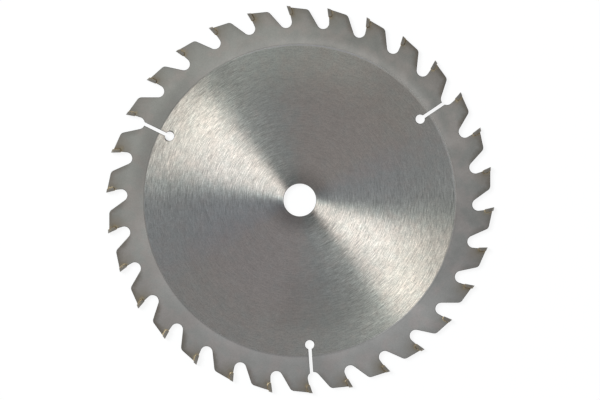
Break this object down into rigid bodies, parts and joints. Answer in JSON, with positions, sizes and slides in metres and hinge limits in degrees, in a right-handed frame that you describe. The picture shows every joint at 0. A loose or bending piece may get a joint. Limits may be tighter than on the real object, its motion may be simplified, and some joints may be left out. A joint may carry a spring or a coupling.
{
  "type": "tct circular saw blade",
  "caption": "Flat steel disc with hooked teeth, deep gullets, expansion slots and an arbor bore; a carbide tip is brazed into each tooth to cut wood and board.",
  "frame": {"origin": "centre of the arbor bore, at half the plate's thickness", "axes": "+Z along the bore's axis, out of the face whose teeth lead counter-clockwise; +X and +Y in the plate"},
  "size_m": [0.1894, 0.1891, 0.0026],
  "materials": {
    "plate_steel": "blasted matt rim, fine circumferential grinding inside it",
    "carbide": "fine-ground dark grey",
    "braze": "as flowed, tarnished"
  },
  "bodies": {
    "root": {"steel_plate": "plate_steel", "carbide_tip_01": "carbide", "carbide_tip_02": "carbide", "carbide_tip_03": "carbide", "carbide_tip_04": "carbide", "carbide_tip_05": "carbide", "carbide_tip_06": "carbide", "carbide_tip_07": "carbide", "carbide_tip_08": "carbide", "carbide_tip_09": "carbide", "carbide_tip_10": "carbide", "carbide_tip_11": "carbide", "carbide_tip_12": "carbide", "carbide_tip_13": "carbide", "carbide_tip_14": "carbide", "carbide_tip_15": "carbide", "carbide_tip_16": "carbide", "carbide_tip_17": "carbide", "carbide_tip_18": "carbide", "carbide_tip_19": "carbide", "carbide_tip_20": "carbide", "carbide_tip_21": "carbide", "carbide_tip_22": "carbide", "carbide_tip_23": "carbide", "carbide_tip_24": "carbide", "carbide_tip_25": "carbide", "carbide_tip_26": "carbide", "carbide_tip_27": "carbide", "carbide_tip_28": "carbide", "carbide_tip_29": "carbide", "carbide_tip_30": "carbide", "braze_joints": "braze"}
  },
  "joints": []
}
